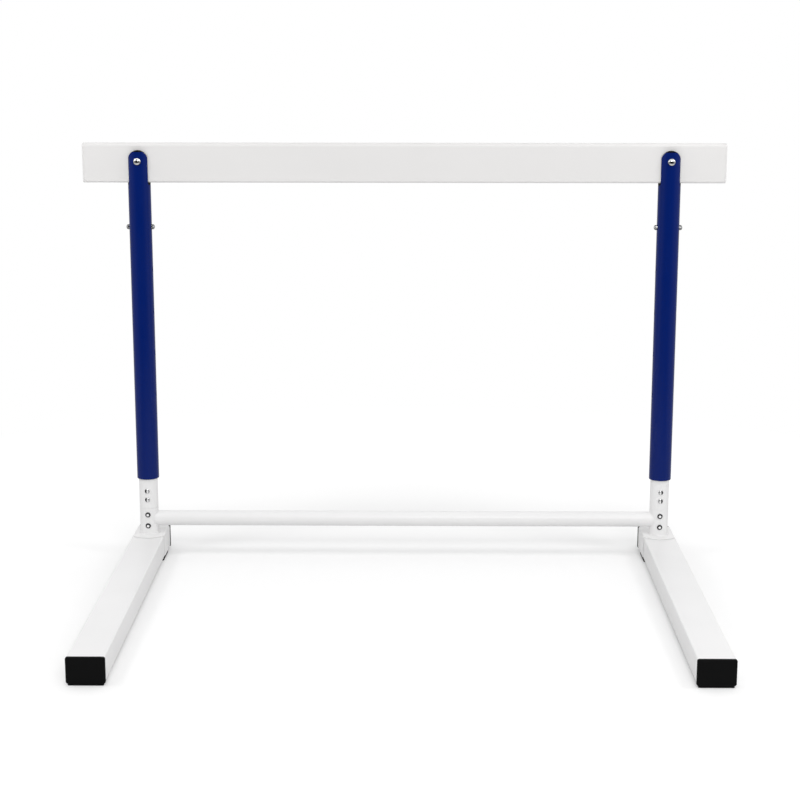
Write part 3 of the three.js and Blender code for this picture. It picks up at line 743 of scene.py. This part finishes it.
def hex_block(name, seat, height, sides):
    """A six-sided nut along Y with corners above and below, turned off at the outer face."""
    lo, hi, middle = boxed(name)
    across = hi.x - lo.x
    corner = across / sqrt(3)
    shape = bmesh.new()
    bmesh.ops.create_cone(
        shape, cap_ends=True, cap_tris=False, segments=6, radius1=corner, radius2=corner, depth=height
    )
    bmesh.ops.translate(shape, verts=shape.verts, vec=(0, 0, seat + height / 2))
    sliver = 0.0001
    depth, clear, top = corner - across / 2 + 2 * sliver, corner * 1.2, seat + height
    chamfer = spun(
        [
            (0, seat - depth), (clear, seat - depth), (clear, top - depth * 0.85),
            (across / 2 - sliver, top + sliver / 2), (0, top + sliver / 2),
        ],
        sides,
    )
    return carve(laid(shape, "Y", middle), laid(chamfer, "Y", middle), operation="INTERSECT")


class HURDLE_OT_crossbar_fasteners(Operator):
    """Builds the bolts, washers and cap nuts that hold the board"""

    bl_idname = "hurdle.crossbar_fasteners"
    bl_label = "Crossbar fasteners"

    @each_side
    def execute(self, sizes, side):
        sides = sizes.fine_sides
        bolt = side + "_crossbar_bolt"
        domed_pin(bolt, "carriage", sizes.bolt_dome, sizes.bolt_shank, sides, bolt_reflections)
        lo, hi, middle = boxed(side + "_crossbar_washer")
        loose_fit = sizes.bolt_shank + GAP
        washer = pipe((hi.x - lo.x) / 2, loose_fit, lo.y, hi.y, sides, "Y", middle, sizes.edge_break)
        make(washer, side + "_crossbar_washer", "carriage", "zinc_steel")
        name = side + "_crossbar_cap_nut"
        lo, hi, middle = boxed(name)
        crown = (hi.x - lo.x) / 2 * 0.93
        sunk = lo.y + 0.001
        arch = reversed(dome(crown, lo.y + sizes.nut_height, hi.y))
        cap = laid(spun([*arch, (0, sunk), (crown, sunk)], sides, closed=True), "Y", middle)
        nut = carve(hex_block(name, lo.y, sizes.nut_height, sides), cap, operation="UNION")
        hole = rod(loose_fit, lo.y - REACH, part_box(bolt)[1].y + GAP, sides, "Y", middle)
        make(carve(nut, hole), name, "carriage", "zinc_steel", sizes.edge_break * 0.6)


class HURDLE_OT_inner_tubes(Operator):
    """Builds the inner tubes and the guides between the tubes"""

    bl_idname = "hurdle.inner_tubes"
    bl_label = "Inner tubes"

    @each_side
    def execute(self, sizes, side):
        lo, hi, middle = boxed(side + "_inner_tube")
        radius = (hi.x - lo.x) / 2
        button = axis_of(side + "_outer_button")
        rivets = [axis_of(f"{side}_{level}_rivet").z for level in LEVELS]
        beside = sizes.setting_hole * 1.5
        rings = [button.z - beside, button.z + beside]
        rings += [z + way * sizes.setting_hole for z in rivets for way in (-1, 1)]
        tube = pipe(
            radius, radius - sizes.tube_wall, lo.z, hi.z, sizes.tube_sides,
            middle=middle, edge=sizes.joint_edge, rings=rings,
        )
        cuts = [bore(sizes, sizes.setting_hole, "X", (middle.x, middle.y, button.z))]
        for z in rivets:
            shank = sizes.rivet_shank + GAP
            cuts.append(rod(shank, middle.y - REACH, middle.y, sizes.fine_sides, "Y", (middle.x, 0, z)))
        make(carve(tube, *cuts), side + "_inner_tube", "frame", "white_paint", sizes.joint_edge)
        lo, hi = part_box(side + "_guide_sleeve")
        sleeve = pipe(
            (hi.x - lo.x) / 2, radius + GAP, lo.z, hi.z, sizes.tube_sides,
            middle=middle, edge=sizes.edge_break,
        )
        make(sleeve, side + "_guide_sleeve", "carriage", "guide_nylon")


class HURDLE_OT_snap_buttons(Operator):
    """Builds the sprung buttons that lock the height"""

    bl_idname = "hurdle.snap_buttons"
    bl_label = "Snap buttons"

    @each_side
    def execute(self, sizes, side):
        axis = axis_of(side + "_inner_tube")
        for name in (side + "_outer_button", side + "_inner_button"):
            lo, hi, middle = boxed(name)
            outwards = 1 if middle.x > axis.x else -1
            back, tip = (lo.x, hi.x) if outwards > 0 else (hi.x, lo.x)
            radius, flange = sizes.button_radius, (hi.y - lo.y) / 2
            rim = tip - outwards * sizes.button_dome
            seat = back + outwards * sizes.button_flange
            edge = sizes.edge_break
            profile = [
                *dome(radius, rim, tip), (radius, seat), (flange - edge, seat),
                (flange, seat - outwards * edge), (flange, back + outwards * edge),
                (flange - edge, back), (0, back),
            ]
            shape = laid(spun(profile, sizes.fine_sides), "X", (0, axis.y, middle.z))
            # Painted dark reflections on the button's head
            paint_reflections(shape, middle, flange, axis.y + flange, button_reflections)
            make(shape, name, name, "chrome", angle=40)


class HURDLE_OT_foot_posts(Operator):
    """Builds the posts, their saddles over the legs and their welds"""

    bl_idname = "hurdle.foot_posts"
    bl_label = "Foot posts"

    @each_side
    def execute(self, sizes, side):
        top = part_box(side + "_leg")[1].z + GAP + sizes.saddle_sheet
        tube_lo, tube_hi, middle = boxed(side + "_inner_tube")
        radius = (tube_hi.x - tube_lo.x) / 2
        bolts = [axis_of(f"{side}_{level}_base_bolt").z for level in LEVELS]
        rings = [z + way * sizes.setting_hole for z in bolts for way in (-1, 1)]
        post = pipe(
            radius, radius - sizes.tube_wall, top - sizes.saddle_sheet / 2, tube_lo.z - sizes.joint_gap,
            sizes.tube_sides, middle=middle, edge=sizes.joint_edge, rings=[top, *rings],
        )
        saddle = self.saddle(sizes, *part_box(side + "_base_post"), middle, top)
        holes = [bore(sizes, sizes.bolt_shank + GAP, "Y", (middle.x, middle.y, z)) for z in bolts]
        weldment = carve(carve(saddle, post, operation="UNION"), *holes)
        make(weldment, side + "_base_post", "frame", "white_paint", sizes.joint_edge)
        rise = sizes.weld_radius * 0.3
        reach = radius + rise
        weld(
            side + "_post_weld", sizes.weld_radius, steps=240, ripples=44,
            place=lambda turn: (middle.x + reach * cos(turn), middle.y + reach * sin(turn), top + rise),
        )

    def saddle(self, sizes, lo, hi, middle, top):
        """The sheet over the leg, folded down on its inner side, with a bowed front edge."""
        inward = 1 if middle.x < 0 else -1
        half = max(hi.x - middle.x, middle.x - lo.x)
        under = half - sizes.saddle_sheet
        corner = sizes.leg_corner + GAP
        outer = section_bar(
            (middle.x - half, lo.y, lo.z), (middle.x + half, hi.y, top),
            1, corner + sizes.saddle_sheet, sizes.edge_break,
        )
        inner = section_bar(
            (middle.x - under, lo.y - REACH, lo.z - REACH),
            (middle.x + under, hi.y + REACH, top - sizes.saddle_sheet), 1, corner, sizes.edge_break,
        )
        bulge = sizes.saddle_bulge
        bow = (half**2 + bulge**2) / (2 * bulge)
        past = Vector((REACH, REACH, REACH))
        plan = carve(
            rod(bow, lo.z - REACH, hi.z + REACH, 2 * sizes.tube_sides, middle=(middle.x, lo.y + bow, 0)),
            bar((lo.x - REACH, lo.y + bulge, lo.z - REACH), hi + past),
            operation="UNION",
        )
        kept = (lo - past, hi + past)
        if inward > 0:
            kept[0].x = lo.x
        else:
            kept[1].x = hi.x
        return carve(carve(outer, inner), plan, bar(*kept), operation="INTERSECT")


class HURDLE_OT_cross_tube(Operator):
    """Builds the cross tube, its ends cut to the round of the posts, and its welds"""

    bl_idname = "hurdle.cross_tube"
    bl_label = "Cross tube"

    def execute(self, context):
        sizes = context.scene.hurdle_sizes
        lo, hi, middle = boxed("cross_tube")
        radius = (hi.z - lo.z) / 2
        tube = pipe(radius, radius - sizes.tube_wall, lo.x, hi.x, sizes.tube_sides, "X", middle)
        mouths = []
        for side in SIDES:
            post_lo, post_hi, post = boxed(side + "_inner_tube")
            mouth = (post_hi.x - post_lo.x) / 2 + GAP
            mouths.append(rod(mouth, lo.z - REACH, hi.z + REACH, 2 * sizes.tube_sides, middle=post))
            inwards = 1 if post.x < 0 else -1

            def place(turn):
                x, y = inwards * sqrt(mouth**2 - (radius * sin(turn)) ** 2), radius * sin(turn)
                return post.x + x, middle.y + y, middle.z + radius * cos(turn)

            weld(side + "_cross_weld", sizes.mouth_weld_radius, steps=180, ripples=36, place=place)
        make(carve(tube, *mouths), "cross_tube", "frame", "white_paint", sizes.edge_break * 0.5)
        return {"FINISHED"}


class HURDLE_OT_post_fasteners(Operator):
    """Builds the rivets, base bolts and nuts of the posts"""

    bl_idname = "hurdle.post_fasteners"
    bl_label = "Post fasteners"

    @each_side
    def execute(self, sizes, side):
        sides, shank = sizes.fine_sides, sizes.bolt_shank
        for end in (f"{side}_{level}" for level in LEVELS):
            domed_pin(end + "_rivet", "frame", sizes.rivet_dome, sizes.rivet_shank, sides, rivet_reflections)
            domed_pin(end + "_base_bolt", "frame", sizes.base_bolt_dome, shank, sides, ring_reflections)
            lo, hi, middle = boxed(end + "_base_nut")
            nut = hex_block(end + "_base_nut", lo.y, hi.y - lo.y, sides)
            nut = carve(nut, bore(sizes, shank + GAP, "Y", middle))
            make(nut, end + "_base_nut", "frame", "zinc_steel", sizes.edge_break * 0.6)


class HURDLE_OT_legs(Operator):
    """Builds the two box-section legs"""

    bl_idname = "hurdle.legs"
    bl_label = "Legs"

    @each_side
    def execute(self, sizes, side):
        lo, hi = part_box(side + "_leg")
        corner, inner = sizes.leg_corner, sizes.leg_corner - sizes.leg_wall
        hollow = section_bar(*inset_box(lo, hi, 1, sizes.leg_wall, REACH), 1, inner, inner)
        leg = carve(section_bar(lo, hi, 1, corner, corner), hollow)
        make(leg, side + "_leg", "frame", "white_paint", sizes.edge_break)


def leg_cap(sizes, side, name, outwards):
    """A cap's flange with its hollow plug in the leg; outwards is -1 at the front and 1 at the rear."""
    lo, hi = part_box(name)
    leg_lo, leg_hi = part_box(side + "_leg")
    lip = hi.z - leg_hi.z
    face, low = lo.y, leg_lo.z - lip
    corner = shoulder = sizes.leg_corner + lip
    if outwards > 0:
        face, low, corner, shoulder = hi.y, lo.z, sizes.leg_corner, sizes.cap_shoulder
    near, far = sorted((face, face - outwards * sizes.cap_flange))
    flange = bar((lo.x, near, low), (hi.x, far, hi.z))
    outer_x = lo.x if leg_lo.x < 0 else hi.x
    for radius, outer_top in ((corner, False), (shoulder, True)):
        rounded(
            flange, radius,
            lambda a, b: runs(a, b, 1) and (abs(a.x - outer_x) + abs(a.z - hi.z) < TOUCH) == outer_top,
        )
    rounded(flange, sizes.cap_round, on_face(1, face), 5)
    inner = sizes.leg_corner - sizes.leg_wall
    return stopper(
        sizes, flange, name, side + "_leg", 1, outwards, sizes.cap_flange, sizes.leg_wall,
        (inner, inner), (inner / 2, inner / 2),
    )


class HURDLE_OT_mouldings(Operator):
    """Builds the leg caps with their feet, and the rear pads"""

    bl_idname = "hurdle.mouldings"
    bl_label = "Caps and pads"

    @each_side
    def execute(self, sizes, side):
        name = side + "_front_cap"
        middle, leg_front = axis_of(name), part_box(side + "_leg")[0].y
        half, corner = sizes.foot_width / 2, sizes.foot_corner
        start = (middle.x - half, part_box(name)[0].y + sizes.foot_setback, 0)
        sole = bar(start, (middle.x + half, leg_front + sizes.foot_reach, sizes.sole))
        rounded(sole, sizes.sole / 4, lambda a, b: not runs(a, b, 2), 3)
        web = section_bar(start, (middle.x + half, leg_front - GAP, sizes.foot_web), 1, corner, corner)
        cap = carve(leg_cap(sizes, side, name, -1), web, sole, operation="UNION")
        make(cap, name, "frame", "black_plastic")
        name = side + "_rear_cap"
        make(leg_cap(sizes, side, name, 1), name, "frame", "black_plastic")
        lo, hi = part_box(side + "_rear_pad")
        if middle.x < 0:
            hi.x += sizes.pad_lip
        else:
            lo.x -= sizes.pad_lip
        pad = bar(lo, hi)
        rounded(pad, sizes.pad_corner, lambda a, b: runs(a, b, 2), 6)
        rounded(pad, sizes.edge_break, lambda a, b: not runs(a, b, 2), 2)
        grooves = []
        for row in range(1, PAD_GROOVES + 1):
            place = (0, lo.y + (hi.y - lo.y) * row / (PAD_GROOVES + 1), lo.z - GAP)
            grooves.append(rod(sizes.pad_groove, lo.x - REACH, hi.x + REACH, 16, "X", place))
        make(carve(pad, *grooves), side + "_rear_pad", "frame", "rubber")


class HURDLE_OT_inner_pieces(Operator):
    """Gives the pieces inside the tubes their finishes"""

    bl_idname = "hurdle.inner_pieces"
    bl_label = "Inner pieces"

    @each_side
    def execute(self, sizes, side):
        slots = {"spigot": "zinc_steel", "guide_plug": "guide_nylon", "snap_spring": "spring_steel"}
        for name, slot in slots.items():
            frame["nodes"][f"{side}_{name}"].material_slots[0].material = finishes()[slot]


# Studio

def dark_front(tree, way):
    """1 for directions to all sides but the front, where it falls to nearly 0."""
    along = node(tree, "SeparateXYZ", {0: way}).outputs["Y"]
    return spread(tree, along, FRONT_LIGHT, 1.0, *FRONT, "SMOOTHSTEP")


class HURDLE_OT_studio(Operator):
    """Builds the floor, the light and the camera"""

    bl_idname = "hurdle.studio"
    bl_label = "Studio"

    def execute(self, context):
        studio = context.scene.hurdle_studio
        self.floor(studio)
        self.sky(context.scene, studio)
        for name, energy, size, place, aim in (
            ("Left light", studio.side_strength, (0.4, 0.4), (-1.25, -0.35, 1.35), (-0.45, 0.1, 0)),
            ("Right light", studio.side_strength, (0.4, 0.4), (1.25, -0.35, 1.35), (0.45, 0.1, 0)),
            ("Soft box", studio.box_strength, (1.6, 0.7), (0.35, -2.5, 2.0), (0, 0, 0.4)),
            ("Right glint", studio.right_glint, (0.12, 0.12), (0.6, -0.25, 1.9), (0.4, 0.3, 0.1)),
            ("Left glint", studio.left_glint, (0.12, 0.12), (-0.55, -0.25, 1.9), (-0.4, 0.3, 0.1)),
        ):
            lamp = bpy.data.lights.new(name, "AREA")
            lamp.shape, lamp.size, lamp.size_y, lamp.energy = "RECTANGLE", *size, energy
            turn = (Vector(aim) - Vector(place)).to_track_quat("-Z", "Y").to_matrix().to_4x4()
            linked(name, lamp).matrix_world = Matrix.Translation(place) @ turn
        lens = bpy.data.cameras.new("Camera")
        lens.lens, lens.sensor_width, lens.clip_end = studio.camera_lens, 36.0, 200.0
        camera = linked("Camera", lens)
        camera.matrix_world = (
            Matrix.Translation(studio.camera_place)
            @ Matrix.Rotation(-studio.camera_yaw, 4, "Z")
            @ Matrix.Rotation(pi / 2 - studio.camera_pitch, 4, "X")
            @ Matrix.Rotation(studio.camera_roll, 4, "Z")
        )
        context.scene.camera = camera
        context.scene.view_settings.view_transform = "Standard"
        return {"FINISHED"}

    def floor(self, studio):
        """A pale floor that keeps the hurdle's shadow and fades to plain white around it."""
        shape = bmesh.new()
        bmesh.ops.create_grid(shape, x_segments=8, y_segments=8, size=studio.floor_reach)
        floor = loose(shape, "Floor")
        material = bpy.data.materials.new("Floor")
        tree = fresh_tree(material)
        place = node(tree, "TexCoord").outputs["Object"]
        rays = node(tree, "LightPath").outputs
        shade = self.floor_shade(studio, tree, place, rays)
        matt = node(tree, "BsdfDiffuse", {"Color": shade}).outputs[0]
        away = vector(tree, "LENGTH", {0: place}, "Value")
        glow = spread(tree, away, studio.floor_glow, 1.0, *FADE)
        white = node(tree, "Emission", {"Color": WHITE, "Strength": glow}).outputs[0]
        # Ambient occlusion takes the white lift away near pieces, as painted contact shade on the floor
        painted_contact_shade = node(tree, "AmbientOcclusion", {"Distance": studio.contact_reach}, samples=8)
        lift = spread(tree, away, studio.floor_lift, 1.0, *FADE)
        for share in (rays["Is Camera Ray"], painted_contact_shade.outputs["AO"]):
            lift = worked(tree, "MULTIPLY", lift, share)
        mix = node(tree, "MixShader", {0: lift, 1: matt, 2: white})
        node(tree, "OutputMaterial", {"Surface": mix.outputs[0]})
        floor.data.materials.append(material)

    def floor_shade(self, studio, tree, place, rays):
        """The floor's colour to the camera, its duller bounce, and its dark front in mirrored rays."""
        dull = shaded(WHITE[:3], studio.floor_bounce)
        seen = blend(tree, rays["Is Camera Ray"], dull, (*studio.floor_colour, 1))
        middle = (0, axis_of("left_inner_tube").y, 0)
        offset = vector(tree, "SUBTRACT", {0: place, 1: middle})
        way = vector(tree, "NORMALIZE", {0: offset})
        near = spread(tree, vector(tree, "LENGTH", {0: offset}, "Value"), 1.0, 0.0, *NEAR, "SMOOTHSTEP")
        light = worked(tree, "MAXIMUM", dark_front(tree, way), near)
        dark = vector(tree, "SCALE", {0: seen, "Scale": light})
        return blend(tree, rays["Is Glossy Ray"], seen, dark)

    def sky(self, scene, studio):
        """White to the camera, dark at the front in mirrored rays, and even light elsewhere."""
        world = scene.world or bpy.data.worlds.new("Studio")
        scene.world = world
        tree = fresh_tree(world)
        rays = node(tree, "LightPath").outputs
        seen = rays["Is Camera Ray"]
        for kind in ("Is Glossy Ray", "Is Transmission Ray"):
            seen = worked(tree, "MAXIMUM", seen, rays[kind])
        way = node(tree, "TexCoord").outputs["Generated"]
        direct = worked(tree, "MAXIMUM", dark_front(tree, way), rays["Is Camera Ray"])
        light = node(tree, "Background", {"Color": WHITE, "Strength": studio.sky_strength}).outputs[0]
        shown = node(tree, "Background", {"Color": WHITE, "Strength": direct}).outputs[0]
        mix = node(tree, "MixShader", {0: seen, 1: light, 2: shown})
        node(tree, "OutputWorld", {"Surface": mix.outputs[0]})


GROUPS = {"hurdle_finish": HurdleFinish, "hurdle_sizes": HurdleSizes, "hurdle_studio": HurdleStudio}
OPERATORS = (
    HURDLE_OT_board, HURDLE_OT_outer_tubes, HURDLE_OT_fork_inserts, HURDLE_OT_crossbar_fasteners,
    HURDLE_OT_inner_tubes, HURDLE_OT_snap_buttons, HURDLE_OT_foot_posts, HURDLE_OT_cross_tube,
    HURDLE_OT_post_fasteners, HURDLE_OT_legs, HURDLE_OT_mouldings, HURDLE_OT_inner_pieces,
    HURDLE_OT_studio,
)


class HURDLE_PT_pieces(Panel):
    """Lists the hurdle's pieces in the sidebar"""

    bl_idname = "HURDLE_PT_pieces"
    bl_label = "Track Hurdle"
    bl_space_type = "VIEW_3D"
    bl_region_type = "UI"
    bl_category = "Hurdle"

    def draw(self, context):
        layout = self.layout
        for group in GROUPS:
            settings = getattr(context.scene, group)
            box = layout.box()
            for name in settings.__annotations__:
                box.prop(settings, name)
        for operator in OPERATORS:
            layout.operator(operator.bl_idname)


CLASSES = (*GROUPS.values(), *OPERATORS, HURDLE_PT_pieces)


def register():
    for kind in CLASSES:
        bpy.utils.register_class(kind)
    for name, group in GROUPS.items():
        setattr(bpy.types.Scene, name, PointerProperty(type=group))


def unregister():
    for name in GROUPS:
        delattr(bpy.types.Scene, name)
    for kind in reversed(CLASSES):
        bpy.utils.unregister_class(kind)


def main():
    register()
    for operator in OPERATORS:
        getattr(bpy.ops.hurdle, operator.bl_idname.removeprefix("hurdle."))()


if __name__ == "__main__":
    main()
